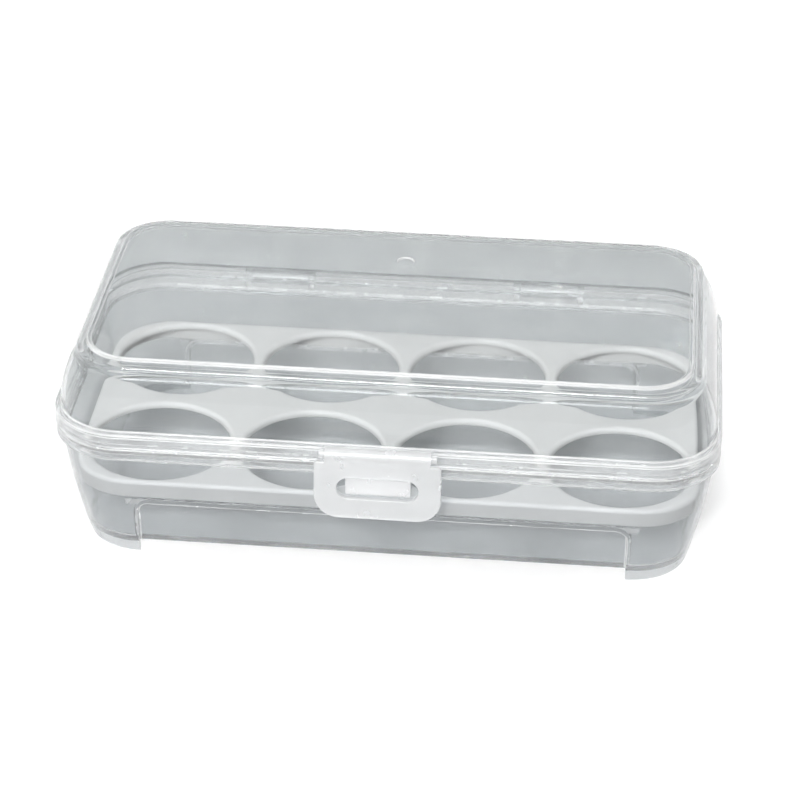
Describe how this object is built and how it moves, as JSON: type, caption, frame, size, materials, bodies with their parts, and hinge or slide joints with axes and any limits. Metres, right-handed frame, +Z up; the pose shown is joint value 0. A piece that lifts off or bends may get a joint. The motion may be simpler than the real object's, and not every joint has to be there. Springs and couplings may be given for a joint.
{
  "type": "egg storage box",
  "caption": "Clear hinged storage box on corner feet, with a white lift-out tray of round egg holes in rows, a domed lid with a raised panel and a front buckle.",
  "frame": {"origin": "middle of the overall box of the closed box, at the level of the feet", "axes": "+X along the box's length, -Y towards the front buckle, +Z up"},
  "size_m": [0.2184, 0.1308, 0.0713],
  "materials": {
    "frosted_plastic": "see-through polypropylene, slightly frosted",
    "clear_plastic": "clear glossy plastic",
    "white_plastic": "satin opaque white polypropylene",
    "milky_plastic": "milky translucent polypropylene"
  },
  "bodies": {
    "base": {"base": "frosted_plastic"},
    "lid": {"lid": "clear_plastic"},
    "tray": {"egg_tray": "white_plastic"},
    "buckle": {"buckle": "milky_plastic"}
  },
  "joints": [
    {"name": "lid_hinge", "type": "hinge", "parent": "base", "child": "lid", "pos_m": [0, 0.06269, 0.04355], "axis": [-1, 0, 0], "range_deg": [0, 180]},
    {"name": "buckle_hinge", "type": "hinge", "parent": "lid", "child": "buckle", "pos_m": [0, -0.06269, 0.0485], "axis": [-1, 0, 0], "range_deg": [0, 150]},
    {"name": "tray_lift", "type": "slide", "parent": "base", "child": "tray", "axis": [0, 0, 1], "range_m": [0, 0.025]}
  ]
}
